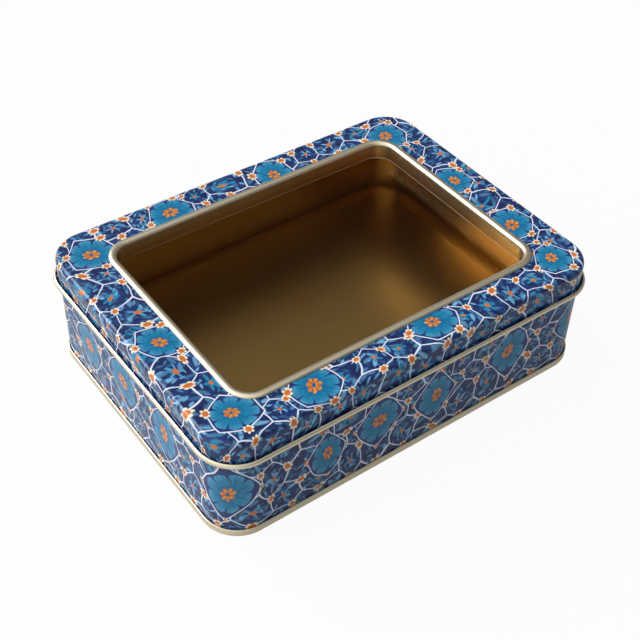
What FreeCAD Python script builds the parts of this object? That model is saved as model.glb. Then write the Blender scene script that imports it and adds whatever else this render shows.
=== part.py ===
import FreeCAD, Part
import math
import os
import Sketcher

# Printed tinplate window tin: a seamed body and a lift-off lid with a glazed window.
# The tin stands on the XY plane, +Z up, centred on the origin, with its long sides along X.
# Lengths are in millimetres. Sections are drawn at the right-hand wall and swept round the tin.

SIZES = (
    ("wall_length", 244.8, "body wall along X, outer face to outer face"),
    ("wall_width", 182.0, "body wall along Y, outer face to outer face"),
    ("corner_radius", 20.0, "plan corner of the wall's outer face"),
    ("box_height", 69.7, "floor to the top of the wall's rolled rim"),
    ("sheet", 0.3, "thickness of the tinplate"),
    ("rim_roll", 1.1, "outer radius of the wall's rolled rim"),
    ("rim_flat", 0.8, "flat on top of the rolled rim, where the lid rests"),
    ("neck_height", 4.0, "height over which the wall leans in below its rim"),
    ("seam_height", 4.4, "base seam, floor to its top"),
    ("seam_gap", 0.1, "clearance between the folded layers of the base seam"),
    ("seam_round", 0.5, "outer bend of the base seam"),
    ("base_recess", 3.8, "floor to the underside of the base's outer ring"),
    ("base_ring", 9.0, "wall's outer face to the foot of the base's stamped step"),
    ("base_step", 1.2, "rise of the base's stamped middle panel"),
    ("side_seam_width", 6.0, "folded side seam on the inside of the back wall"),
    ("side_seam_rise", 0.6, "how far the side seam stands in from the wall"),
    ("side_seam_end", 0.5, "room left above and below the side seam"),
    ("fit_gap", 0.4, "slip clearance between the lid's skirt and the wall"),
    ("lid_edge", 2.5, "outer radius of the lid's shoulder"),
    ("lid_seat", 0.2, "flat of the lid that reaches past the rolled rim's flat"),
    ("lid_depth", 16.1, "top of the lid's panel to the bottom of its curl"),
    ("lid_curl", 1.5, "outer radius of the curl along the skirt's lower edge"),
    ("window_length", 197.0, "window rim along X, outer edge to outer edge"),
    ("window_width", 141.0, "window rim along Y, outer edge to outer edge"),
    ("window_radius", 15.0, "plan corner of the window rim's outer edge"),
    ("window_bend", 0.8, "outer bend of the lid panel's turned-down edge"),
    ("window_flange", 3.0, "depth of the lid panel's turned-down edge"),
    ("bead_width", 4.6, "width of the window rim's raised bead"),
    ("bead_rise", 1.4, "height of the bead above the lid's panel"),
    ("collar_gap", 0.1, "clearance between the collar and the panel's turned-down edge"),
    ("collar_depth", 9.5, "top of the lid's panel to the underside of the collar's flange"),
    ("collar_bend", 0.8, "outer bend between the collar and its flange"),
    ("collar_flange", 4.0, "collar's inner face to the edge of its flange"),
    ("tape_inset", 0.2, "collar's bend to the inner edge of the bonding tape"),
    ("tape_width", 2.4, "width of the bonding tape"),
    ("tape_thickness", 0.2, "thickness of the bonding tape"),
    ("pane_margin", 0.3, "edge of the collar's flange to the edge of the pane"),
    ("pane_thickness", 0.4, "thickness of the clear pane"),
    ("panel_lap", 1.0, "flat strip of a bent edge that runs into its panel"),
)

LEFT = "left"
RIGHT = "right"

# Turn of each flat, in degrees, where a small bend is drawn with flats.
BEND_STEP = 45


class Size:
    """A length kept as a number and as the expression that gives it from the sheet."""

    def __init__(self, value, text):
        self.value = value
        self.text = text

    def __add__(self, other):
        other = as_size(other)
        return Size(self.value + other.value, f"({self.text} + {other.text})")

    def __sub__(self, other):
        other = as_size(other)
        return Size(self.value - other.value, f"({self.text} - {other.text})")

    def __mul__(self, other):
        other = as_size(other)
        return Size(self.value * other.value, f"({self.text} * {other.text})")

    def __truediv__(self, other):
        other = as_size(other)
        return Size(self.value / other.value, f"({self.text} / {other.text})")

    def __neg__(self):
        return Size(-self.value, f"(0 - {self.text})")


def as_size(number):
    return number if isinstance(number, Size) else Size(number, str(number))


def make_sheet(document):
    """Write the driving sizes into a spreadsheet and return them by name."""
    sheet = document.addObject("Spreadsheet::Sheet", "sizes")
    sizes = {}
    for row, (name, value, note) in enumerate(SIZES, start=1):
        sheet.set(f"A{row}", name)
        sheet.set(f"B{row}", str(value))
        sheet.set(f"C{row}", note)
        sheet.setAlias(f"B{row}", name)
        sizes[name] = Size(value, f"sizes.{name}")
    document.recompute()
    return sizes


doc = FreeCAD.newDocument("window_tin")
size = make_sheet(doc)

# Places that several pieces share.
sheet_thickness = size["sheet"]
wall_face = size["wall_length"] / 2
panel_under = size["box_height"]
panel_top = panel_under + sheet_thickness
skirt_in = wall_face + size["fit_gap"]
skirt_out = skirt_in + sheet_thickness
shoulder_x = skirt_out - size["lid_edge"]
shoulder_z = panel_top - size["lid_edge"]
roll_z = size["box_height"] - size["rim_roll"]
neck_foot = roll_z - size["neck_height"]
ring_under = size["base_recess"]
ring_top = ring_under + sheet_thickness
middle_under = ring_under + size["base_step"]
step_foot = wall_face - size["base_ring"]
step_head = step_foot - size["base_step"]
window_edge = size["window_length"] / 2
collar_inner = window_edge - size["bead_width"]
collar_outer = collar_inner + sheet_thickness
flange_under = panel_top - size["collar_depth"]
turned_in = collar_outer + size["collar_gap"]
turned_bend = turned_in + size["window_bend"]


def around_wall(offset):
    """Length, width and corner radius of the wall's outline moved out by an offset."""
    return (size["wall_length"] + offset * 2, size["wall_width"] + offset * 2, size["corner_radius"] + offset)


def around_window(offset):
    """Length, width and corner radius of the window rim's outline moved out by an offset."""
    return (size["window_length"] + offset * 2, size["window_width"] + offset * 2, size["window_radius"] + offset)


def arc_centre(start, end, radius, turn):
    """Centre of the short arc between two points that turns left or right."""
    chord = end - start
    half = chord.Length / 2
    across = FreeCAD.Vector(-chord.y, chord.x, 0).normalize()
    reach = math.sqrt(max(radius * radius - half * half, 0))
    return (start + end) / 2 + across * (reach if turn == LEFT else -reach)


def edge_geometry(start, end, radius, turn):
    """One edge of an outline, with the numbers of its first and last ends."""
    if radius is None:
        return Part.LineSegment(start, end), 1, 2
    centre = arc_centre(start, end, radius.value, turn)
    first, last = (start, end) if turn == LEFT else (end, start)
    begin = math.atan2(first.y - centre.y, first.x - centre.x)
    finish = math.atan2(last.y - centre.y, last.x - centre.x)
    circle = Part.Circle(centre, FreeCAD.Vector(0, 0, 1), radius.value)
    ends = (1, 2) if turn == LEFT else (2, 1)
    return Part.ArcOfCircle(circle, begin, finish), *ends


def hold(kind, axis, edge, end, place):
    """Constraint that holds one coordinate of a corner at its place, and its expression."""
    if place.value > 0:
        return Sketcher.Constraint(kind, -1, 1, edge, end, place.value), place.text
    if place.value < 0:
        return Sketcher.Constraint(kind, edge, end, -1, 1, -place.value), (-place).text
    return Sketcher.Constraint("PointOnObject", edge, end, axis), None


def draw_outline(sketch, corners):
    """Draw a closed outline. A corner given with a radius and a turn is reached by an arc."""
    corners = [(as_size(c[0]), as_size(c[1]), *(c[2:] or (None, None))) for c in corners]
    points = [FreeCAD.Vector(x.value, y.value, 0) for x, y, radius, turn in corners]
    count = len(corners)
    first_edge = sketch.GeometryCount
    edges = []
    for index in range(count):
        following = (index + 1) % count
        edges.append(edge_geometry(points[index], points[following], *corners[following][2:]))
    sketch.addGeometry([edge[0] for edge in edges], False)
    held = []
    for index, (x, y, _, _) in enumerate(corners):
        following = (index + 1) % count
        edge = first_edge + index
        begin, finish = edges[index][1:]
        next_begin = edges[following][1]
        joint = Sketcher.Constraint("Coincident", edge, finish, first_edge + following, next_begin)
        held.append((joint, None))
        held.append(hold("DistanceX", -2, edge, begin, x))
        held.append(hold("DistanceY", -1, edge, begin, y))
        radius = corners[following][2]
        if radius is not None:
            held.append((Sketcher.Constraint("Radius", edge, radius.value), radius.text))
    first_constraint = sketch.ConstraintCount
    sketch.addConstraint([constraint for constraint, text in held])
    for index, (_, text) in enumerate(held):
        if text:
            sketch.setExpression(f"Constraints[{first_constraint + index}]", text)


def bend(x, z, radius, start, finish, height=None):
    """Corners of a small bend about a centre, from one angle to another; height makes it oval."""
    count = round(abs(finish - start) / BEND_STEP)
    corners = []
    for index in range(count + 1):
        angle = math.radians(start + (finish - start) * index / count)
        across = round(math.cos(angle), 6)
        up = round(math.sin(angle), 6)
        corners.append((x + radius * across, z + (height or radius) * up))
    return corners


def draw_rounded(sketch, length, width, radius):
    """Draw a rounded rectangle about the origin, from the middle of its right-hand side."""
    x = length / 2
    y = width / 2
    draw_outline(sketch, [
        (x, 0),
        (x, y - radius),
        (x - radius, y, radius, LEFT),
        (radius - x, y),
        (-x, y - radius, radius, LEFT),
        (-x, radius - y),
        (radius - x, -y, radius, LEFT),
        (x - radius, -y),
        (x, radius - y, radius, LEFT),
    ])


def new_body(label):
    body = doc.addObject("PartDesign::Body", label)
    body.Label = label
    return body


def new_sketch(body, name, role, offset=None):
    """Sketch on one of the body's own origin planes, moved along the plane's normal."""
    plane = next(feature for feature in body.Origin.OriginFeatures if feature.Role == role)
    sketch = body.newObject("Sketcher::SketchObject", name)
    sketch.AttachmentSupport = (plane, [""])
    sketch.MapMode = "FlatFace"
    if offset is not None:
        sketch.setExpression("AttachmentOffset.Base.z", offset.text)
    return sketch


def add_pad(body, name, sketch, length):
    pad = body.newObject("PartDesign::Pad", name)
    pad.Profile = sketch
    pad.setExpression("Length", length.text)
    doc.recompute()
    return pad


def add_plate(body, name, base, thickness, *outlines):
    """Flat plate of rounded rectangles: the first is its edge, and any second one its hole."""
    sketch = new_sketch(body, f"{name}_outline", "XY_Plane", base)
    for outline in outlines:
        draw_rounded(sketch, *outline)
    return add_pad(body, name, sketch, thickness)


def add_sweep(body, name, corners, path):
    """Sweep a section at the right-hand side round a rounded rectangle."""
    spine = new_sketch(body, f"{name}_path", "XY_Plane")
    draw_rounded(spine, *path)
    section = new_sketch(body, f"{name}_section", "XZ_Plane")
    draw_outline(section, corners)
    pipe = body.newObject("PartDesign::AdditivePipe", name)
    pipe.Profile = section
    pipe.Spine = spine
    doc.recompute()
    return pipe


def make_body_wall():
    """Side wall: hooked into the base seam, necked under the lid and rolled in at the top."""
    roll = size["rim_roll"]
    inner_roll = roll - sheet_thickness
    hook_in = wall_face + size["seam_gap"] * 2 + sheet_thickness
    hook_out = hook_in + sheet_thickness
    hook_top = size["seam_height"] - sheet_thickness - size["seam_gap"]
    neck = size["lid_edge"] - size["fit_gap"] - sheet_thickness - roll + size["lid_seat"]
    rim_face = wall_face - neck
    flat_out = rim_face - roll
    flat_in = flat_out - size["rim_flat"]
    body = new_body("body_wall")
    add_sweep(body, "wall", [
        (wall_face - sheet_thickness, sheet_thickness),
        (hook_out, sheet_thickness),
        (hook_out, hook_top),
        (hook_in, hook_top),
        (hook_in, sheet_thickness * 2),
        (wall_face, sheet_thickness * 2),
        (wall_face, neck_foot),
        *bend(flat_out, roll_z, roll, 0, 90),
        *bend(flat_in, roll_z, roll, 90, 270),
        *bend(flat_in, roll_z, inner_roll, 270, 90),
        *bend(flat_out, roll_z, inner_roll, 90, 0),
        (wall_face - sheet_thickness, neck_foot),
    ], around_wall(as_size(0)))
    add_side_seam(body)
    return body


def add_side_seam(body):
    """Folded strip up the middle of the back wall, where the wall's two ends are locked."""
    middle_of_sheet = size["wall_width"] / 2 - sheet_thickness / 2
    half = size["side_seam_width"] / 2
    foot = ring_top + size["side_seam_end"]
    head = neck_foot - size["side_seam_end"]
    sketch = new_sketch(body, "side_seam_outline", "XZ_Plane", -middle_of_sheet)
    draw_outline(sketch, [(-half, foot), (half, foot), (half, head), (-half, head)])
    add_pad(body, "side_seam", sketch, size["side_seam_rise"] + sheet_thickness / 2)


def make_base_panel():
    """Base: a stamped panel whose edge folds down, out and over the wall's hook."""
    gap = size["seam_gap"]
    edge = size["seam_round"]
    top = size["seam_height"]
    fold_out = wall_face - sheet_thickness - gap
    fold_in = fold_out - sheet_thickness
    hook_in = wall_face + gap
    hook_out = hook_in + sheet_thickness
    hook_end = sheet_thickness * 2 + gap
    seam_in = wall_face + gap * 3 + sheet_thickness * 2
    seam_out = seam_in + sheet_thickness
    middle_top = middle_under + sheet_thickness
    lap_end = step_head - size["panel_lap"]
    body = new_body("base_panel")
    add_sweep(body, "base_edge", [
        (lap_end, middle_under),
        (step_head, middle_under),
        (step_foot, ring_under),
        (fold_in, ring_under),
        (fold_in, 0),
        *bend(seam_out - edge, edge, edge, 270, 360),
        *bend(seam_out - edge, top - edge, edge, 0, 90),
        (hook_in, top),
        (hook_in, hook_end),
        (hook_out, hook_end),
        (hook_out, top - sheet_thickness),
        (seam_in, top - sheet_thickness),
        (seam_in, sheet_thickness),
        (fold_out, sheet_thickness),
        (fold_out, ring_top),
        (step_foot, ring_top),
        (step_head, middle_top),
        (lap_end, middle_top),
    ], around_wall(as_size(0)))
    plate_edge = step_head - size["panel_lap"] / 2 - wall_face
    add_plate(body, "base_middle", middle_under, sheet_thickness, around_wall(plate_edge))
    return body


def make_lid_shell():
    """Lid: a flat panel with a window, a rounded shoulder, a skirt and an outward curl."""
    lap = size["panel_lap"]
    edge = size["lid_edge"]
    curl = size["lid_curl"]
    inner_curl = curl - sheet_thickness
    curl_x = skirt_in + curl
    curl_z = panel_top - size["lid_depth"] + curl
    body = new_body("lid_shell")
    add_sweep(body, "skirt", [
        (shoulder_x - lap, panel_under),
        (shoulder_x, panel_under),
        (skirt_in, shoulder_z, edge - sheet_thickness, RIGHT),
        *bend(curl_x, curl_z, curl, 180, 450),
        *bend(curl_x, curl_z, inner_curl, 450, 180),
        (skirt_out, shoulder_z),
        (shoulder_x, panel_top, edge, LEFT),
        (shoulder_x - lap, panel_top),
    ], around_wall(size["fit_gap"] + sheet_thickness))
    panel_edge = shoulder_x - lap / 2 - wall_face
    panel_hole = turned_bend + lap / 2 - window_edge
    add_plate(body, "panel", panel_under, sheet_thickness, around_wall(panel_edge), around_window(panel_hole))
    add_turned_edge(body)
    return body


def add_turned_edge(body):
    """Edge of the lid's window, turned down round the collar."""
    fold = size["window_bend"]
    fold_z = panel_top - fold
    lap_end = turned_bend + size["panel_lap"]
    turned_out = turned_in + sheet_thickness
    foot = panel_top - size["window_flange"]
    add_sweep(body, "turned_edge", [
        (lap_end, panel_top),
        *bend(turned_bend, fold_z, fold, 90, 180),
        (turned_in, foot),
        (turned_out, foot),
        *bend(turned_bend, fold_z, fold - sheet_thickness, 180, 90),
        (lap_end, panel_under),
    ], around_window(as_size(0)))


def make_window_rim():
    """Window rim: a raised bead on the lid's panel, a collar down inside it and an outward flange."""
    half = size["bead_width"] / 2
    rise = size["bead_rise"]
    fold = size["collar_bend"]
    inner_half = half - sheet_thickness
    peak_x = window_edge - half
    drop_z = panel_top - size["window_bend"]
    drop = rise + size["window_bend"]
    flange_end = collar_inner + size["collar_flange"]
    fold_x = collar_inner + fold
    fold_z = flange_under + fold
    body = new_body("window_rim")
    add_sweep(body, "rim", [
        *bend(peak_x, panel_top, half, 0, 90, rise),
        *bend(peak_x, drop_z, half, 90, 180, drop)[1:],
        *bend(fold_x, fold_z, fold, 180, 270),
        (flange_end, flange_under),
        (flange_end, flange_under + sheet_thickness),
        *bend(fold_x, fold_z, fold - sheet_thickness, 270, 180),
        *bend(peak_x, drop_z, inner_half, 180, 90, drop - sheet_thickness),
        *bend(peak_x, panel_top, inner_half, 90, 0, rise - sheet_thickness)[1:],
    ], around_window(as_size(0)))
    return body


def make_pane_tape():
    """Ring of bonding tape under the collar's flange."""
    inner = size["collar_bend"] + size["tape_inset"] - size["bead_width"]
    outer = inner + size["tape_width"]
    body = new_body("pane_tape")
    base = flange_under - size["tape_thickness"]
    add_plate(body, "tape", base, size["tape_thickness"], around_window(outer), around_window(inner))
    return body


def make_window_pane():
    """Clear pane, bonded under the tape."""
    edge = size["collar_flange"] - size["bead_width"] - size["pane_margin"]
    body = new_body("window_pane")
    base = flange_under - size["tape_thickness"] - size["pane_thickness"]
    add_plate(body, "pane", base, size["pane_thickness"], around_window(edge))
    return body


def check_document():
    """Stop if any object failed to build."""
    for item in doc.Objects:
        if "Invalid" in item.State or "Error" in item.State:
            raise RuntimeError(f"{item.Label} failed: {item.State}")
        if item.isDerivedFrom("Sketcher::SketchObject") and not item.FullyConstrained:
            raise RuntimeError(f"{item.Label} is not fully constrained")


def write_part(body):
    """Check one piece and write its file."""
    shape = body.Shape
    if shape.isNull() or not shape.isValid() or len(shape.Solids) != 1:
        raise RuntimeError(f"{body.Label} is not one valid solid")
    print(f"{body.Label}: {shape.Volume:.1f} mm3, box {shape.BoundBox}")
    shape.exportStep(f"parts/{body.Label}.step")


pieces = [
    make_body_wall(),
    make_base_panel(),
    make_lid_shell(),
    make_window_rim(),
    make_pane_tape(),
    make_window_pane(),
]
doc.recompute()
check_document()
os.makedirs("parts", exist_ok=True)
for piece in pieces:
    write_part(piece)
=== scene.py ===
import math
from functools import partial

import bmesh
import bpy
from bpy.props import FloatProperty, FloatVectorProperty, IntProperty, PointerProperty
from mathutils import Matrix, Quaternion, Vector


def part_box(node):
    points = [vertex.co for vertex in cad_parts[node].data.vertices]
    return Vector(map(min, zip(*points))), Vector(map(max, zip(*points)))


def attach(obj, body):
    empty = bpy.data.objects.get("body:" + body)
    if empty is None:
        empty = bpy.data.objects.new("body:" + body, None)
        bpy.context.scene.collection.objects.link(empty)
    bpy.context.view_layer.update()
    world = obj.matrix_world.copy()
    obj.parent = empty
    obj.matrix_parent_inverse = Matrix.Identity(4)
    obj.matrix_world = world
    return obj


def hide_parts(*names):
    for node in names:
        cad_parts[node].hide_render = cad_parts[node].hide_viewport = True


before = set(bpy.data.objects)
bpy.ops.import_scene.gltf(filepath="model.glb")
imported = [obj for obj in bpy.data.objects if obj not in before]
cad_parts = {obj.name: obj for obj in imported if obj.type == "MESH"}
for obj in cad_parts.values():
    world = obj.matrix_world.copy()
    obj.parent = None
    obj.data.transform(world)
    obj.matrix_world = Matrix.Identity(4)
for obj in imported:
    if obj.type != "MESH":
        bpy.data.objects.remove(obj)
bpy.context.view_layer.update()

bl_info = {
    "name": "Printed window tin",
    "version": (1, 0, 0),
    "blender": (4, 5, 0),
    "location": "3D View > Sidebar > Tin",
    "description": "Dresses a seamed tinplate box and its glazed slip lid",
    "category": "Object",
}

LID_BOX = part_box("lid_shell")
RIM_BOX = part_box("window_rim")
WALL_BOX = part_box("body_wall")
BASE_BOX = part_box("base_panel")
MM = 0.001
WELD = 0.01 * MM
PRINT_MAP = "print_sheet"
WHITE = (1, 1, 1, 1)

# Photograph's camera, worked out from the tin's edges in the 640 by 640 picture.
# Its turns are its azimuth, elevation and roll in degrees.
PICTURE_WIDTH = 640
FOCAL_PIXELS = 1172
SENSOR_WIDTH = 36
CAMERA_PLACE = Vector((-299.3, -393.5, 482.8)) * MM
CAMERA_TURNS = (-37.3, 43.1, 2.0)

# Key light: the way that it shines, its strength, and its spread in degrees.
KEY_WAY = Vector((0.42, -0.7, -0.58)).normalized()
KEY_STRENGTH = 2.5
KEY_SPREAD = 40

# Soft boxes at the left, round the key and overhead. Each has the way to it, the cosines at which its
# light starts and is full, and its strength. The studio is dim elsewhere.
SOFT_BOXES = (
    (Vector((-0.97, -0.1, 0.2)), 0.1, 0.95, 1.22),
    (-KEY_WAY, 0.7, 0.94, 0.7),
    (Vector((0, 0, 1)), 0.8, 0.95, 0.85),
)
STUDIO_GLOW = 0.03

# White backdrop: how much of it the camera and glass see, and how much of it gloss mirrors.
BACKDROP_SEEN = 0.95
BACKDROP_MIRRORED = 0.2
FLOOR_RADIUS = 4

# Rosettes on the lid's sheet, seen from above in millimetres: across, up, size, and turn in degrees.
LID_ROSETTES = (
    (-104, 71, 24, 10),
    (-49, 76, 24, 35),
    (19, 76, 24, 5),
    (100, 69, 24, 20),
    (104, 11, 22, 0),
    (105, -39, 23, 15),
    (103, -75, 20, 30),
    (-108, -10, 23, 25),
    (-104, -71, 24, 0),
    (-61, -79, 24, 12),
    (15, -76, 25, 28),
)
# Rosettes on the wall's sheet, rolled out from the middle of the front: along, up, size, turn.
WALL_ROSETTES = (
    (-388, 34, 29, 0),
    (-340, 31, 28, 0),
    (-296, 35, 29, 0),
    (-251, 30, 28, 0),
    (-212, 34, 29, 0),
    (-170, 31, 29, 0),
    (-119, 32, 32, 0),
    (-62, 31, 26, 0),
    (-28, 34, 30, 0),
    (9, 31, 28, 0),
    (63, 34, 31, 0),
    (112, 33, 29, 0),
    (160, 31, 28, 0),
    (203, 34, 29, 0),
    (248, 30, 28, 0),
    (292, 34, 29, 0),
    (338, 31, 28, 0),
    (386, 34, 29, 0),
)
# Print on each sheet: its rosettes, with their width over their height, and the vine frame round each.
# The frame has a number of sides, a tilt, a squareness from round to straight, and the distance to its
# corners; then come the number and the size of its stars. Distances are shares of the rosette's radius.
LID_DESIGN = {
    "rosettes": LID_ROSETTES, "slender": 1.0,
    "sides": 6, "tilt": 0.0, "squared": 0.8, "corner": 1.18, "stars": 3, "star_size": 0.26,
}
WALL_DESIGN = {
    "rosettes": WALL_ROSETTES, "slender": 0.75,
    "sides": 4, "tilt": math.pi / 4, "squared": 0.65, "corner": 1.34, "stars": 4, "star_size": 0.13,
}


def linear(code):
    """Scene-linear colour, with alpha, of an sRGB hex code."""
    shares = [int(code[start:start + 2], 16) / 255 for start in (1, 3, 5)]
    return [s / 12.92 if s <= 0.04045 else ((s + 0.055) / 1.055) ** 2.4 for s in shares] + [1.0]


def length_property(label, note, millimetres):
    """Length that a user may change, given in millimetres."""
    return FloatProperty(name=label, description=note, default=millimetres * MM, unit="LENGTH", precision=5)


def colour_property(label, note, code):
    """Colour that a user may change, given as an sRGB hex code."""
    return FloatVectorProperty(name=label, description=note, subtype="COLOR", size=4, default=linear(code))


class TinSizes(bpy.types.PropertyGroup):
    """Sizes of the sheet's bends and edges."""
    sheet: length_property("Sheet", "Thickness of the tinplate", 0.3)
    corner: length_property("Corner", "Plan corner of the wall", 20)
    slip: length_property("Slip", "Gap between the wall and the lid's skirt", 0.4)
    curl: length_property("Curl", "Outer radius of the lid's curl", 1.5)
    shoulder: length_property("Shoulder", "Outer radius of the lid's shoulder", 2.5)
    window_corner: length_property("Window corner", "Plan corner of the window's bead", 15)
    bead_width: length_property("Bead width", "Width of the window's bead", 4.6)
    bead_rise: length_property("Bead rise", "Height of the bead over the lid", 1.4)
    collar_fold: length_property("Collar fold", "Bend between the collar and its flange", 0.8)
    collar_flange: length_property("Collar flange", "Collar to the edge of its flange", 4)
    turned_fold: length_property("Turned fold", "Bend of the lid's turned-down window edge", 0.8)
    turned_depth: length_property("Turned depth", "Depth of the turned-down window edge", 3)
    side_width: length_property("Side seam width", "Folded strip inside the back wall", 6.0)
    side_rise: length_property("Side seam rise", "How far the folded strip stands in from the wall", 0.6)
    side_end: length_property("Side seam ends", "Room above and below the folded strip", 0.5)
    seam_gap: length_property("Seam gap", "Room between the layers of the base seam", 0.1)
    seam_round: length_property("Seam round", "Outer bend of the base seam", 0.5)
    seam_height: length_property("Seam height", "Height of the base seam", 4.4)
    base_recess: length_property("Base recess", "Floor to the base's outer ring", 3.8)
    base_ring: length_property("Base ring", "Wall to the foot of the base's stamped step", 9)
    base_step: length_property("Base step", "Rise of the base's stamped middle", 1.2)
    rim_roll: length_property("Rim roll", "Outer radius of the wall's rolled rim", 1.1)
    rim_flat: length_property("Rim flat", "Flat on the rolled rim", 0.8)
    neck_height: length_property("Neck height", "Height of the lean below the rim", 4)
    neck: length_property("Neck", "How far the wall leans in below its rim", 0.9)
    corner_steps: IntProperty(name="Corner steps", description="Flats in a plan corner", default=20, min=4)
    bend_step: FloatProperty(name="Bend step", description="Turn of each flat in a bend", subtype="ANGLE",
                             default=math.radians(11.25))


class TinColours(bpy.types.PropertyGroup):
    """Inks, lacquer and stage colours."""
    cobalt: colour_property("Cobalt", "Ground of the print", "#1c336a")
    deep_cobalt: colour_property("Deep cobalt", "Darker strokes of the ground", "#15204e")
    turquoise: colour_property("Turquoise", "Petals", "#177fa6")
    deep_turquoise: colour_property("Deep turquoise", "Shaded strokes of the petals", "#135c8a")
    pale_blue: colour_property("Pale blue", "Leaves and petal lights", "#78b4dc")
    vine: colour_property("Vine", "White vines", "#dcdff0")
    cream: colour_property("Cream", "Tips of the small stars", "#eedfc4")
    orange: colour_property("Orange", "Hearts of the flowers", "#c66e2e")
    amber: colour_property("Amber", "Lights of the hearts", "#d89c4e")
    rust: colour_property("Rust", "Creases of the hearts", "#93401c")
    champagne: colour_property("Champagne", "Clear lacquer on the bare edges", "#e0d4ba")
    gold: colour_property("Gold", "Gold lacquer inside the tin", "#c69f5e")
    tape: colour_property("Tape", "Bonding tape", "#d8d6cc")
    floor: colour_property("Floor", "Studio floor", "#c8c8c6")


def add_node(tree, kind, *sources, **settings):
    """Add a node with its settings and links, and give its first output."""
    node = tree.nodes.new(f"ShaderNode{kind}")
    named = {}
    for name, value in settings.items():
        if name in node.inputs:
            named[name] = value
        else:
            setattr(node, name, value)
    ends = [socket for socket in node.inputs if socket.enabled]
    filled = [*zip(ends, sources), *((node.inputs[name], value) for name, value in named.items())]
    for socket, source in filled:
        if isinstance(source, bpy.types.NodeSocket):
            tree.links.new(source, socket)
        else:
            socket.default_value = source
    return next((socket for socket in node.outputs if socket.enabled), None)


def new_material(name):
    """Empty node material, and a short way to add nodes to it."""
    material = bpy.data.materials.new(name)
    material.use_nodes = True
    material.node_tree.nodes.clear()
    return material, partial(add_node, material.node_tree)


def pick_rosette(add, place, rosettes, slender):
    """Place within the nearest rosette, where 1 is its edge, and the distance from its heart."""
    nearest = 100.0
    inside = (nearest, 0.0, 0.0)
    for across, up, size, turn in rosettes:
        local = add(
            "Mapping", place, vector_type="TEXTURE", Location=(across, up, 0),
            Rotation=(0, 0, math.radians(turn)), Scale=(slender * size / 2, size / 2, 1),
        )
        reach = add("VectorMath", local, operation="LENGTH")
        closer = add("Math", reach, nearest, operation="LESS_THAN")
        inside = add("Mix", closer, inside, local, data_type="VECTOR")
        nearest = add("Math", reach, nearest, operation="MINIMUM")
    return inside, nearest


def polar(add, place):
    """Angle of a place about the origin."""
    parts = add("SeparateXYZ", place).node.outputs
    return add("Math", parts["Y"], parts["X"], operation="ARCTAN2")


def lobes(add, angle, count):
    """Rise and fall round a flower: 0 at the creases and 1 in the middle of each petal."""
    turned = add("Math", angle, count / 2, operation="MULTIPLY")
    wave = add("Math", turned, operation="SINE")
    return add("Math", wave, operation="ABSOLUTE")


def brushed(add, edge, reach, softness):
    """Share of ink within a shape's edge, fading as a brush stroke does."""
    inside = add("Math", edge, reach, operation="SUBTRACT")
    return add("Math", inside, 1 / softness, operation="MULTIPLY", use_clamp=True)


def star_masks(add, place, size):
    """Tips and heart of a six-pointed star about the origin."""
    softness = 0.15 * size
    angle = polar(add, place)
    reach = add("VectorMath", place, operation="LENGTH")
    edge = add("Math", lobes(add, angle, 6), 0.45 * size, 0.55 * size, operation="MULTIPLY_ADD")
    tips = brushed(add, edge, reach, softness)
    heart = brushed(add, 0.6 * size, reach, softness)
    return tips, heart


def honeycomb(add, place, spacing):
    """Place within the nearest cell of a honeycomb."""
    half = Vector((spacing / 2, spacing * math.sqrt(3) / 2, 0))
    even = add("VectorMath", place, half, -half, operation="WRAP")
    between = add("VectorMath", place, half, operation="ADD")
    odd = add("VectorMath", between, half, -half, operation="WRAP")
    even_reach = add("VectorMath", even, operation="LENGTH")
    odd_reach = add("VectorMath", odd, operation="LENGTH")
    closer = add("Math", odd_reach, even_reach, operation="LESS_THAN")
    return add("Mix", closer, even, odd, data_type="VECTOR")


def vine_frame(add, angle, reach, shape):
    """Distance out that is even along a frame of many sides, and the place seen from its nearest star."""
    half_side = math.pi / shape["sides"]
    squared = shape["squared"]
    tilt = add("Math", angle, shape["tilt"], operation="SUBTRACT")
    folded = add("Math", tilt, half_side, -half_side, operation="WRAP")
    flat = add("Math", folded, operation="COSINE")
    stretch = add("Math", flat, squared / math.cos(half_side), 1 - squared, operation="MULTIPLY_ADD")
    spread = add("Math", reach, stretch, operation="MULTIPLY")

    sector = 2 * math.pi / shape["stars"]
    from_corner = add("Math", tilt, half_side, operation="SUBTRACT")
    from_star = add("Math", from_corner, sector / 2, -sector / 2, operation="WRAP")
    along = add("Math", reach, add("Math", from_star, operation="COSINE"), operation="MULTIPLY")
    along = add("Math", along, shape["corner"], operation="SUBTRACT")
    across = add("Math", reach, add("Math", from_star, operation="SINE"), operation="MULTIPLY")
    return spread, add("CombineXYZ", along, across, 0.0)


def paint_ground(add, place, colours):
    """Cobalt ground with the brush's darker and paler strokes."""
    stroke_size = 7
    cloud = add("TexNoise", place, noise_dimensions="2D", Scale=1 / stroke_size, Detail=3.0)
    share = add("MapRange", cloud, 0.35, 0.65, 0.0, 1.0)
    return add("Mix", share, colours.deep_cobalt, colours.cobalt, data_type="RGBA")


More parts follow.
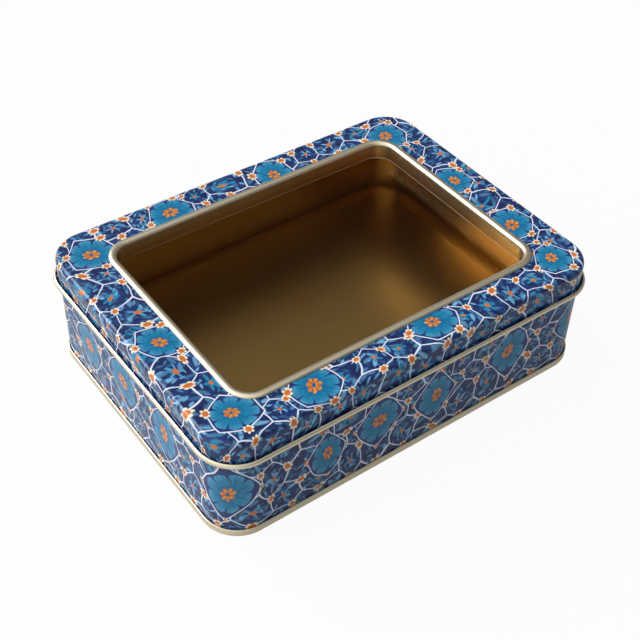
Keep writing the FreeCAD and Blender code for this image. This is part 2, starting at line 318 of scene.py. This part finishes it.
def paint_leaves(add, place, ground, spacing, colours):
    """Small brushed leaves strewn over the ground."""
    length = 0.62 * spacing
    width = 0.24 * spacing
    cell = add("TexVoronoi", place, voronoi_dimensions="2D", Scale=1 / spacing).node.outputs
    chance = add("SeparateColor", cell["Color"]).node.outputs
    local = add("VectorMath", place, cell["Position"], operation="SUBTRACT")
    turn = add("Math", chance["Red"], 2 * math.pi, operation="MULTIPLY")
    turned = add("VectorRotate", local, rotation_type="Z_AXIS", Angle=turn)
    parts = add("SeparateXYZ", turned).node.outputs
    along = add("Math", parts["X"], 1 / length, operation="MULTIPLY")
    square = add("Math", along, along, operation="MULTIPLY")
    half = add("Math", square, -width, width, operation="MULTIPLY_ADD")
    across = add("Math", parts["Y"], operation="ABSOLUTE")
    shape = brushed(add, half, across, 0.6 * width)
    strength = add("MapRange", chance["Green"], 0.1, 0.8, 0.1, 0.95)
    mask = add("Math", shape, strength, operation="MULTIPLY")
    ink = add("Mix", chance["Blue"], colours.deep_turquoise, colours.pale_blue, data_type="RGBA")
    return add("Mix", mask, ground, ink, data_type="RGBA")


def paint_sprigs(add, cell, chance, ground, colours):
    """A small orange flower in each cell of the net, with slender leaves or full petals."""
    leaf_length = 5.0
    heart_radius = 1.7
    turn_spread = 20.0
    reach = add("VectorMath", cell, operation="LENGTH")
    turn = add("Math", chance, turn_spread, operation="MULTIPLY")
    angle = add("Math", polar(add, cell), turn, operation="ADD")
    slender = add("MapRange", chance, 0.42, 0.58, 0.8, 6.0)
    petals = add("Math", lobes(add, angle, 5), slender, operation="POWER")
    edge = add("Math", petals, leaf_length, operation="MULTIPLY")
    leaf = brushed(add, edge, reach, 1.0)
    heart = brushed(add, heart_radius, reach, 0.6)
    pale = add("MapRange", chance, 0.42, 0.58, 0.0, 1.0)
    ink = add("Mix", pale, colours.turquoise, colours.pale_blue, data_type="RGBA")
    inked = add("Mix", leaf, ground, ink, data_type="RGBA")
    return add("Mix", heart, inked, colours.orange, data_type="RGBA")


def paint_net(add, place, ground, spacing, colours):
    """White vines that net the ground, with a star at every second knot and a sprig in every cell."""
    half_stem = 0.5
    star_radius = 3.3
    cell = honeycomb(add, place, spacing)
    # Each cell has one chance, read from a noise at its centre.
    centre = add("VectorMath", place, cell, operation="SUBTRACT")
    chance = add("TexNoise", centre, noise_dimensions="2D", Scale=0.37, Detail=0.0)
    ground = paint_sprigs(add, cell, chance, ground, colours)
    corner = spacing / math.sqrt(3)
    reach = add("VectorMath", cell, operation="LENGTH")
    spread, star_place = vine_frame(add, polar(add, cell), reach, {
        "sides": 6, "tilt": 0.0, "squared": 1.0, "corner": corner, "stars": 3,
    })
    off_line = add("Math", corner, spread, operation="SUBTRACT")
    stem = brushed(add, half_stem, off_line, 0.15)
    tips, heart = star_masks(add, star_place, star_radius)
    inked = add("Mix", stem, ground, colours.vine, data_type="RGBA")
    inked = add("Mix", tips, inked, colours.cream, data_type="RGBA")
    return add("Mix", heart, inked, colours.orange, data_type="RGBA")


def paint_petals(add, angle, reach, colours):
    """Turquoise petals with dark notches between their tips, and brush strokes out from the heart."""
    petals = lobes(add, angle, 8)
    strokes = add("CombineXYZ", add("Math", angle, 6.0, operation="MULTIPLY"), reach, 0.0)
    streak = add("TexNoise", strokes, noise_dimensions="2D", Scale=1.3, Detail=2.0)
    shaded = add("MapRange", streak, 0.35, 0.6, 0.8, 0.0)
    ink = add("Mix", shaded, colours.turquoise, colours.deep_turquoise, data_type="RGBA")
    near_heart = add("MapRange", reach, 0.35, 0.6, 0.7, 0.0)
    ink = add("Mix", near_heart, ink, colours.deep_turquoise, data_type="RGBA")
    tips = add("MapRange", reach, 0.7, 1.0, 0.0, 0.3)
    ink = add("Mix", tips, ink, colours.pale_blue, data_type="RGBA")
    wedge = add("MapRange", reach, 0.6, 1.0, 0.0, 0.42)
    notch = brushed(add, wedge, petals, 0.12)
    ink = add("Mix", notch, ink, colours.cobalt, data_type="RGBA")
    round_petals = add("Math", petals, 0.5, operation="POWER")
    edge = add("Math", round_petals, 0.14, 0.88, operation="MULTIPLY_ADD")
    return ink, brushed(add, edge, reach, 0.05)


def paint_heart(add, place, angle, reach, colours):
    """Orange heart of brushed petals round a small blue eye."""
    size = 0.37
    fleck_size = 1.6
    petals = lobes(add, angle, 7)
    edge = add("Math", petals, 0.3 * size, 0.72 * size, operation="MULTIPLY_ADD")
    crease = add("MapRange", petals, 0.0, 0.7, 1.0, 0.0)
    fleck = add("TexNoise", place, noise_dimensions="2D", Scale=1 / fleck_size, Detail=1.0)
    light = add("MapRange", fleck, 0.45, 0.65, 0.0, 1.0)
    ink = add("Mix", light, colours.orange, colours.amber, data_type="RGBA")
    ink = add("Mix", crease, ink, colours.rust, data_type="RGBA")
    eye = brushed(add, 0.3 * size, reach, 0.1 * size)
    ink = add("Mix", eye, ink, colours.deep_turquoise, data_type="RGBA")
    return ink, brushed(add, edge, reach, 0.04)


def paint_rosettes(add, place, ground, design, colours):
    """Large turquoise rosettes with orange hearts, each framed by a vine with stars at its corners."""
    inside, reach = pick_rosette(add, place, design["rosettes"], design["slender"])
    angle = polar(add, inside)
    petal_ink, flower = paint_petals(add, angle, reach, colours)
    heart_ink, heart = paint_heart(add, place, angle, reach, colours)
    spread, star_place = vine_frame(add, angle, reach, design)
    corner = design["corner"]
    half_stem = 0.036
    within = add("Math", spread, corner, operation="LESS_THAN")
    off_line = add("Math", spread, corner, operation="SUBTRACT")
    off_line = add("Math", off_line, operation="ABSOLUTE")
    ring = brushed(add, half_stem, off_line, half_stem / 3)
    tips, star_heart = star_masks(add, star_place, design["star_size"])

    inked = add("Mix", within, ground, colours.cobalt, data_type="RGBA")
    inked = add("Mix", flower, inked, petal_ink, data_type="RGBA")
    inked = add("Mix", heart, inked, heart_ink, data_type="RGBA")
    inked = add("Mix", ring, inked, colours.vine, data_type="RGBA")
    inked = add("Mix", tips, inked, colours.cream, data_type="RGBA")
    return add("Mix", star_heart, inked, colours.orange, data_type="RGBA")


def printed_tinplate(name, design):
    """Tinplate printed with offset inks under thin varnish: soft colour below a faint, sharp sheen."""
    colours = bpy.context.scene.tin_colours
    # Sizes are in millimetres, as the print's map is.
    net_spacing = 19
    leaf_spacings = (7, 4)
    sway_spacing = 24
    net_sway = (13, 13, 0)
    flower_sway = (7, 7, 0)
    smudge_size = 30
    ripple_size = 2.5
    material, add = new_material(name)
    sheet = add("UVMap", uv_map=PRINT_MAP)
    wander = add("TexNoise", sheet, noise_dimensions="2D", Scale=1 / sway_spacing, Detail=0.5)
    wander = wander.node.outputs["Color"]
    sway = add("VectorMath", wander, (0.5, 0.5, 0.5), operation="SUBTRACT")
    loose = add("VectorMath", sway, net_sway, sheet, operation="MULTIPLY_ADD")
    neat = add("VectorMath", sway, flower_sway, sheet, operation="MULTIPLY_ADD")
    ink = paint_ground(add, sheet, colours)
    for spacing in leaf_spacings:
        ink = paint_leaves(add, neat, ink, spacing, colours)
    ink = paint_net(add, loose, ink, net_spacing, colours)
    ink = paint_rosettes(add, neat, ink, design, colours)
    smudge = add("TexNoise", sheet, noise_dimensions="2D", Scale=1 / smudge_size, Detail=4.0)
    rough = add("MapRange", smudge, 0.35, 0.7, 0.34, 0.5)
    ripple = add("TexNoise", sheet, noise_dimensions="2D", Scale=1 / ripple_size, Detail=1.0)
    varnish = add("Bump", Strength=0.03, Distance=0.2 * MM, Height=ripple)
    # The inks have little gloss of their own; the varnish carries it.
    shader = add(
        "BsdfPrincipled", Roughness=rough, Normal=varnish, **{
            "Base Color": ink, "IOR": 1.2,
            "Coat Weight": 0.5, "Coat Roughness": 0.08, "Coat IOR": 1.5,
        },
    )
    add("OutputMaterial", shader)
    return material


def lacquered_tinplate(name, gloss, colour, edge_colour=None, shade_span=(0, 1)):
    """Rolled tinplate under thin lacquer: satin metal with faint streaks, and painted shade darkening down
    from an edge's colour.
    """
    # Rolling streaks 50 mm long and 3.3 mm wide. Real ones are much finer, and would not show.
    streaks_in_a_metre = (20, 300, 300)
    streak_depth = 0.03
    material, add = new_material(name)
    place = add("TexCoord").node.outputs["Object"]
    # Painted shade: over the span of heights the colour grades from the edge's colour at the top down to
    # the darker base colour.
    if edge_colour:
        height = add("SeparateXYZ", place).node.outputs["Z"]
        share = add("MapRange", height, *shade_span, 0.0, 1.0)
        colour = add("Mix", share, colour, edge_colour, data_type="RGBA")
    streak_place = add("VectorMath", place, streaks_in_a_metre, operation="MULTIPLY")
    streak = add("TexNoise", streak_place, Scale=1.0, Detail=1.0)
    rough = add("MapRange", streak, 0.3, 0.7, 1 - gloss, 1 - gloss + streak_depth)
    add("OutputMaterial", add("BsdfPrincipled", Metallic=1.0, Roughness=rough, **{"Base Color": colour}))
    return material


def bonding_tape(colours):
    """Milky acrylic tape: matt and a little uneven."""
    cloud_size = 1.25 * MM
    material, add = new_material("acrylic_bonding_tape")
    place = add("TexCoord").node.outputs["Object"]
    cloud = add("TexNoise", place, Scale=1 / cloud_size)
    rough = add("MapRange", cloud, 0.3, 0.7, 0.6, 0.8)
    add("OutputMaterial", add("BsdfPrincipled", Roughness=rough, **{"Base Color": colours.tape}))
    return material


def clear_plastic():
    """Clear PET sheet: almost unseen but for a faint gloss; lamps and mirrored light pass it unbent."""
    material, add = new_material("clear_pet_sheet")
    # The index is below that of PET, which would show the collar's foot a second time.
    pane = add("BsdfPrincipled", Roughness=0.02, IOR=1.1, **{"Transmission Weight": 1.0})
    ray = add("LightPath").node.outputs
    straight = add("Math", ray["Is Shadow Ray"], ray["Is Glossy Ray"], operation="MAXIMUM")
    unbent = add("BsdfTransparent", (0.85, 0.85, 0.85, 1))
    add("OutputMaterial", add("MixShader", straight, pane, unbent))
    return material


def backdrop_share(add):
    """Share of the white backdrop in a ray: most for the camera and glass, and some for gloss."""
    ray = add("LightPath").node.outputs
    seen = add("Math", ray["Is Camera Ray"], ray["Is Transmission Ray"], operation="MAXIMUM")
    mirrored = add("Math", ray["Is Glossy Ray"], BACKDROP_MIRRORED, operation="MULTIPLY")
    return add("Math", seen, BACKDROP_SEEN, mirrored, operation="MULTIPLY_ADD")


def studio_floor(colours):
    """Matt studio paper: plain white to the eye, and it keeps the tin's shadow."""
    material, add = new_material("studio_floor")
    paper = add("BsdfPrincipled", Roughness=0.9, **{"Base Color": colours.floor})
    white = add("Emission", WHITE, 1.0)
    add("OutputMaterial", add("MixShader", backdrop_share(add), paper, white))
    return material


class Outline:
    """Rounded rectangle about the origin, seen from above."""

    def __init__(self, half_length, half_width, radius):
        self.radius = radius
        self.core = Vector((half_length - radius, half_width - radius, 0))

    def split(self, place):
        """Nearest place of the inner rectangle, and the way out from it."""
        core = Vector((
            min(max(place.x, -self.core.x), self.core.x),
            min(max(place.y, -self.core.y), self.core.y),
            0,
        ))
        out = Vector((place.x, place.y, 0)) - core
        return core, out

    def along(self, place):
        """Distance round the outline from the middle of the front, without its sign."""
        core, out = self.split(place)
        turn = math.atan2(abs(out.x), -out.y)
        straight = abs(core.x) if turn <= math.pi / 2 else 2 * self.core.x - abs(core.x)
        return straight + core.y + self.core.y + self.radius * turn


def bend(centre_x, centre_z, radius, start, finish, height=None):
    """Places on a bend of the sheet, from one angle in degrees to another; height makes it oval."""
    step = math.degrees(bpy.context.scene.tin_sizes.bend_step)
    count = max(2, round(abs(finish - start) / step))
    places = []
    for index in range(count + 1):
        angle = math.radians(start + (finish - start) * index / count)
        out = radius * math.cos(angle)
        up = (height or radius) * math.sin(angle)
        places.append((centre_x + out, centre_z + up))
    return places


def sweep(mesh, section, outline):
    """Run a section, drawn as offsets and heights, round an outline from the middle of the back."""
    steps = bpy.context.scene.tin_sizes.corner_steps
    core = outline.core
    edge_y = core.y + outline.radius
    posts = [mesh.verts.new((0, edge_y + offset, height)) for offset, height in section]
    profile = [mesh.edges.new(pair) for pair in zip(posts, posts[1:])]
    corners = [(-core.x, core.y), (-core.x, -core.y), (core.x, -core.y), (core.x, core.y)]
    runs = [(-core.x, 0, 0), (0, -2 * core.y, 0), (2 * core.x, 0, 0), (0, 2 * core.y, 0)]
    for corner, run in zip(corners, runs):
        profile = extrude(mesh, profile, run)
        spun = bmesh.ops.spin(
            mesh, geom=profile, cent=(*corner, 0), axis=(0, 0, 1), angle=math.pi / 2, steps=steps,
        )
        profile = [item for item in spun["geom_last"] if isinstance(item, bmesh.types.BMEdge)]
    extrude(mesh, profile, (-core.x, 0, 0))


def extrude(mesh, edges, run):
    """Draw a row of edges out along a run, and give the row at its end."""
    drawn = bmesh.ops.extrude_edge_only(mesh, edges=edges)["geom"]
    moved = [item for item in drawn if isinstance(item, bmesh.types.BMVert)]
    bmesh.ops.translate(mesh, verts=moved, vec=run)
    drawn_edges = [item for item in drawn if isinstance(item, bmesh.types.BMEdge)]
    return [edge for edge in drawn_edges if all(end in moved for end in edge.verts)]


def close_mesh(mesh, check_place, facing):
    """Weld the rows that meet, and turn every face to the sheet's outer side."""
    bmesh.ops.remove_doubles(mesh, verts=mesh.verts, dist=WELD)
    bmesh.ops.recalc_face_normals(mesh, faces=mesh.faces)
    place = Vector(check_place)
    nearest = min(mesh.faces, key=lambda face: (face.calc_center_median() - place).length)
    if nearest.normal.dot(Vector(facing)) < 0:
        bmesh.ops.reverse_faces(mesh, faces=mesh.faces)
    for face in mesh.faces:
        face.smooth = True


def new_piece(name, mesh, materials):
    """Make an object from a finished mesh."""
    data = bpy.data.meshes.new(name)
    mesh.to_mesh(data)
    mesh.free()
    piece = bpy.data.objects.new(name, data)
    bpy.context.scene.collection.objects.link(piece)
    for material in materials:
        data.materials.append(material)
    return piece


def finish_sheet(name, mesh, materials, body, node):
    """Make the piece, thicken it inwards and seat it on its body in place of its node."""
    piece = new_piece(name, mesh, materials)
    wall = piece.modifiers.new("sheet", "SOLIDIFY")
    wall.thickness = bpy.context.scene.tin_sizes.sheet
    wall.offset = -1
    wall.use_even_offset = True
    wall.material_offset = 1
    wall.material_offset_rim = 1
    shade = piece.modifiers.new("flats", "WEIGHTED_NORMAL")
    shade.keep_sharp = True
    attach(piece, body)
    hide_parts(node)


def wall_outline(sizes):
    """Outer face of the wall, inside the lid's slip and curl."""
    reach = sizes.slip + 2 * sizes.curl
    return Outline(LID_BOX[1].x - reach, LID_BOX[1].y - reach, sizes.corner)


def window_outline(sizes):
    """Outer edge of the window's bead, inside the collar's flange."""
    reach = sizes.collar_flange - sizes.bead_width
    return Outline(RIM_BOX[1].x - reach, RIM_BOX[1].y - reach, sizes.window_corner)


def lay_print(mesh, reach_of):
    """Give each printed corner its place on the flat sheet, in millimetres."""
    layer = mesh.loops.layers.uv.new(PRINT_MAP)
    for face in mesh.faces:
        centre = face.calc_center_median()
        for loop in face.loops:
            loop[layer].uv = Vector(reach_of(loop.vert.co, centre)) / MM


def clear_lacquer():
    """Clear lacquer shared by the bare edges, the underside and the inside of the lid."""
    name = "tinplate_clear_lacquer"
    colour = bpy.context.scene.tin_colours.champagne
    return bpy.data.materials.get(name) or lacquered_tinplate(name, 0.67, colour)


def gold_lacquer():
    """Gold lacquer shared by the inner faces of the tin."""
    name = "tinplate_gold_lacquer"
    colour = bpy.context.scene.tin_colours.gold
    return bpy.data.materials.get(name) or lacquered_tinplate(name, 0.68, colour)


def fold_side_seam(sizes, outline, foot, head):
    """Lock the wall's two ends in a folded strip up the inside of the back."""
    inside = outline.core.y + outline.radius - sizes.sheet
    fold = sizes.sheet
    half = sizes.side_width / 2
    section = [
        (half, -sizes.sheet / 2),
        *bend(half - fold, sizes.side_rise - fold, fold, 0, 90),
        *bend(fold - half, sizes.side_rise - fold, fold, 90, 180),
        (-half, -sizes.sheet / 2),
    ]
    mesh = bmesh.new()
    posts = [mesh.verts.new((along, inside - depth, foot)) for along, depth in section]
    ring = [mesh.edges.new(pair) for pair in zip(posts, posts[1:] + posts[:1])]
    extrude(mesh, ring, (0, 0, head - foot))
    bmesh.ops.holes_fill(mesh, edges=mesh.edges)
    bmesh.ops.recalc_face_normals(mesh, faces=mesh.faces)
    strip = new_piece("side_seam", mesh, [gold_lacquer()])
    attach(strip, "tin")


class TIN_OT_body_wall(bpy.types.Operator):
    """Roll the printed wall, hooked at its foot and rolled in at its rim"""
    bl_idname = "tin.body_wall"
    bl_label = "Body wall"

    def execute(self, context):
        sizes = context.scene.tin_sizes
        outline = wall_outline(sizes)
        roll_z = WALL_BOX[1].z - sizes.rim_roll
        neck_foot = roll_z - sizes.neck_height
        flat_out = -sizes.neck - sizes.rim_roll
        flat_in = flat_out - sizes.rim_flat
        hook_in = sizes.sheet + 2 * sizes.seam_gap
        hook_top = sizes.seam_height - sizes.sheet - sizes.seam_gap
        section = [
            (hook_in, hook_top),
            (hook_in, 2 * sizes.sheet),
            (0, 2 * sizes.sheet),
            (0, sizes.seam_height),
            (0, neck_foot),
            *bend(flat_out, roll_z, sizes.rim_roll, 0, 90),
            *bend(flat_in, roll_z, sizes.rim_roll, 90, 270),
        ]
        mesh = bmesh.new()
        sweep(mesh, section, outline)
        front = outline.core.y + outline.radius
        close_mesh(mesh, (0, -front, neck_foot / 2), (0, -1, 0))
        for face in mesh.faces:
            if face.calc_center_median().z > neck_foot:
                face.material_index = 1

        def rolled_out(place, centre):
            """Place of a corner on the flat sheet, from the middle of the front."""
            return math.copysign(outline.along(place), centre.x), place.z

        # The faces are parted at the middle of the front, where the way round the wall changes its sign.
        whole = [*mesh.verts, *mesh.edges, *mesh.faces]
        bmesh.ops.bisect_plane(mesh, geom=whole, dist=WELD, plane_co=(0, 0, 0), plane_no=(1, 0, 0))
        lay_print(mesh, rolled_out)
        inks = printed_tinplate("printed_tinplate_wall", WALL_DESIGN)
        finish_sheet("tin_wall", mesh, [inks, gold_lacquer()], "tin", "body_wall")
        ring_top = sizes.base_recess + sizes.sheet
        fold_side_seam(sizes, outline, ring_top + sizes.side_end, neck_foot - sizes.side_end)
        return {"FINISHED"}


class TIN_OT_base_panel(bpy.types.Operator):
    """Stamp the base and fold its edge round the wall's hook"""
    bl_idname = "tin.base_panel"
    bl_label = "Base panel"

    def execute(self, context):
        sizes = context.scene.tin_sizes
        outline = wall_outline(sizes)
        middle = sizes.base_recess + sizes.base_step
        fold_in = -2 * sizes.sheet - sizes.seam_gap
        hook_in = sizes.seam_gap
        seam_out = BASE_BOX[1].x - outline.core.x - outline.radius
        edge = sizes.seam_round
        top = sizes.seam_height
        section = [
            (-sizes.base_ring - sizes.base_step, middle),
            (-sizes.base_ring, sizes.base_recess),
            (fold_in, sizes.base_recess),
            (fold_in, 0),
            *bend(seam_out - edge, edge, edge, 270, 360),
            *bend(seam_out - edge, top - edge, edge, 0, 90),
            (hook_in, top),
            (hook_in, 2 * sizes.sheet + sizes.seam_gap),
        ]
        mesh = bmesh.new()
        sweep(mesh, section, outline)
        bmesh.ops.remove_doubles(mesh, verts=mesh.verts, dist=WELD)
        inner = [e for e in mesh.edges if e.is_boundary and abs(e.verts[0].co.z - middle) < WELD]
        bmesh.ops.edgeloop_fill(mesh, edges=inner)
        close_mesh(mesh, (0, 0, middle), (0, 0, -1))
        finishes = [clear_lacquer(), gold_lacquer()]
        finish_sheet("tin_base", mesh, finishes, "tin", "base_panel")
        return {"FINISHED"}


class TIN_OT_lid_shell(bpy.types.Operator):
    """Draw the printed lid, with its curl, shoulder and turned-down window edge"""
    bl_idname = "tin.lid_shell"
    bl_label = "Lid shell"

    def execute(self, context):
        sizes = context.scene.tin_sizes
        outline = wall_outline(sizes)
        window = window_outline(sizes)
        top = LID_BOX[1].z
        curl_x = sizes.slip + sizes.curl
        curl_z = LID_BOX[0].z + sizes.curl
        skirt = sizes.slip + sizes.sheet
        shoulder_x = skirt - sizes.shoulder
        shoulder_z = top - sizes.shoulder
        turned_in = sizes.sheet + sizes.seam_gap - sizes.bead_width
        fold = sizes.turned_fold
        mesh = bmesh.new()
        sweep(mesh, [
            *bend(curl_x, curl_z, sizes.curl - sizes.sheet, 450, 180),
            (skirt, shoulder_z),
            *bend(shoulder_x, shoulder_z, sizes.shoulder, 0, 90)[1:],
        ], outline)
        sweep(mesh, [
            *bend(turned_in + fold, top - fold, fold, 90, 180),
            (turned_in, top - sizes.turned_depth),
        ], window)
        bmesh.ops.remove_doubles(mesh, verts=mesh.verts, dist=WELD)
        ring = [e for e in mesh.edges if e.is_boundary and abs(e.verts[0].co.z - top) < WELD]
        bmesh.ops.bridge_loops(mesh, edges=ring)
        panel_y = (outline.core.y + outline.radius + window.core.y + window.radius) / 2
        close_mesh(mesh, (0, -panel_y, top), (0, 0, 1))

        def unfolded(place, centre):
            """Place of a corner on the flat sheet, with the shoulder and skirt laid out level."""
            core, out = outline.split(place)
            offset = out.length - outline.radius
            if place.z < shoulder_z:
                offset = shoulder_x + sizes.shoulder * math.pi / 2 + shoulder_z - place.z
            elif offset > shoulder_x:
                sine = min(1, (offset - shoulder_x) / sizes.shoulder)
                offset = shoulder_x + sizes.shoulder * math.asin(sine)
            if out.length == 0:
                return place.xy
            return (core + out.normalized() * (outline.radius + offset)).xy

        lay_print(mesh, unfolded)
        inks = printed_tinplate("printed_tinplate_lid", LID_DESIGN)
        finish_sheet("tin_lid", mesh, [inks, clear_lacquer()], "lid", "lid_shell")
        return {"FINISHED"}


class TIN_OT_window_rim(bpy.types.Operator):
    """Form the window's bead, collar and flange"""
    bl_idname = "tin.window_rim"
    bl_label = "Window rim"

    def execute(self, context):
        sizes = context.scene.tin_sizes
        window = window_outline(sizes)
        top = LID_BOX[1].z
        half = sizes.bead_width / 2
        fold = sizes.collar_fold
        drop_z = top - sizes.turned_fold
        drop = sizes.bead_rise + sizes.turned_fold
        inner = -sizes.bead_width
        low = RIM_BOX[0].z
        mesh = bmesh.new()
        sweep(mesh, [
            *bend(-half, top, half, 0, 90, sizes.bead_rise),
            *bend(-half, drop_z, half, 90, 180, drop)[1:],
            *bend(inner + fold, low + fold, fold, 180, 270),
            (inner + sizes.collar_flange, low),
        ], window)
        peak_y = window.core.y + window.radius - half
        close_mesh(mesh, (0, -peak_y, top + sizes.bead_rise), (0, 0, 1))
        colours = context.scene.tin_colours
        # Gold lacquer on the collar and champagne on the bead, with painted shade grading between them,
        # darker down the collar.
        painted_shade = lacquered_tinplate(
            "tinplate_lacquer_painted_shade", 0.64, colours.gold, colours.champagne, (low, drop_z),
        )
        finishes = [painted_shade, painted_shade]
        finish_sheet("window_bead", mesh, finishes, "lid", "window_rim")
        return {"FINISHED"}


class TIN_OT_glazing(bpy.types.Operator):
    """Finish the clear pane and its bonding tape"""
    bl_idname = "tin.glazing"
    bl_label = "Glazing"

    def execute(self, context):
        colours = context.scene.tin_colours
        for node, material in (("window_pane", clear_plastic()), ("pane_tape", bonding_tape(colours))):
            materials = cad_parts[node].data.materials
            materials.clear()
            materials.append(material)
        return {"FINISHED"}


def studio_world():
    """Soft boxes in a dim studio, with a white backdrop for the camera."""
    world = bpy.data.worlds.new("studio")
    world.use_nodes = True
    world.node_tree.nodes.clear()
    add = partial(add_node, world.node_tree)
    way = add("TexCoord").node.outputs["Generated"]
    glow = STUDIO_GLOW
    for way_to_box, start, full, strength in SOFT_BOXES:
        facing = add("VectorMath", way, way_to_box, operation="DOT_PRODUCT")
        light = add("MapRange", facing, start, full, 0.0, strength)
        glow = add("Math", light, glow, operation="ADD")
    glow = add("Mix", backdrop_share(add), glow, 1.0)
    add("OutputWorld", add("Background", WHITE, glow))
    return world


def key_lamp():
    """Broad soft key from above, at the back left."""
    sun = bpy.data.lights.new("key", "SUN")
    sun.energy = KEY_STRENGTH
    sun.angle = math.radians(KEY_SPREAD)
    lamp = bpy.data.objects.new("key", sun)
    lamp.rotation_mode = "QUATERNION"
    lamp.rotation_quaternion = KEY_WAY.to_track_quat("-Z", "Y")
    return lamp


def photo_camera():
    """Camera at the photograph's place and angle."""
    lens = bpy.data.cameras.new("camera")
    lens.sensor_width = SENSOR_WIDTH
    lens.lens = FOCAL_PIXELS * SENSOR_WIDTH / PICTURE_WIDTH
    lens.clip_start = 0.01
    azimuth, elevation, roll = (math.radians(turn) for turn in CAMERA_TURNS)
    back = Vector((
        math.sin(azimuth) * math.cos(elevation),
        -math.cos(azimuth) * math.cos(elevation),
        math.sin(elevation),
    ))
    camera = bpy.data.objects.new("camera", lens)
    camera.rotation_mode = "QUATERNION"
    camera.rotation_quaternion = (-back).to_track_quat("-Z", "Y") @ Quaternion((0, 0, 1), roll)
    camera.location = CAMERA_PLACE
    return camera


class TIN_OT_stage(bpy.types.Operator):
    """Set the floor, the lights and the photograph's camera"""
    bl_idname = "tin.stage"
    bl_label = "Stage"

    def execute(self, context):
        scene = context.scene
        scene.view_settings.view_transform = "Standard"
        mesh = bmesh.new()
        bmesh.ops.create_circle(mesh, cap_ends=True, segments=64, radius=FLOOR_RADIUS)
        floor = new_piece("studio_floor", mesh, [studio_floor(scene.tin_colours)])
        scene.world = studio_world()
        scene.collection.objects.link(key_lamp())
        scene.camera = photo_camera()
        scene.collection.objects.link(scene.camera)
        return {"FINISHED"}


PIECES = (
    TIN_OT_body_wall,
    TIN_OT_base_panel,
    TIN_OT_lid_shell,
    TIN_OT_window_rim,
    TIN_OT_glazing,
    TIN_OT_stage,
)


class TIN_PT_panel(bpy.types.Panel):
    """Buttons for the tin's pieces"""
    bl_idname = "TIN_PT_panel"
    bl_label = "Window tin"
    bl_space_type = "VIEW_3D"
    bl_region_type = "UI"
    bl_category = "Tin"

    def draw(self, context):
        for piece in PIECES:
            self.layout.operator(piece.bl_idname)


CLASSES = (TinSizes, TinColours, *PIECES, TIN_PT_panel)


def register():
    for item in CLASSES:
        bpy.utils.register_class(item)
    bpy.types.Scene.tin_sizes = PointerProperty(type=TinSizes)
    bpy.types.Scene.tin_colours = PointerProperty(type=TinColours)


def unregister():
    del bpy.types.Scene.tin_colours
    del bpy.types.Scene.tin_sizes
    for item in reversed(CLASSES):
        bpy.utils.unregister_class(item)


def main():
    register()
    bpy.ops.tin.body_wall()
    bpy.ops.tin.base_panel()
    bpy.ops.tin.lid_shell()
    bpy.ops.tin.window_rim()
    bpy.ops.tin.glazing()
    bpy.ops.tin.stage()


if __name__ == "__main__":
    main()
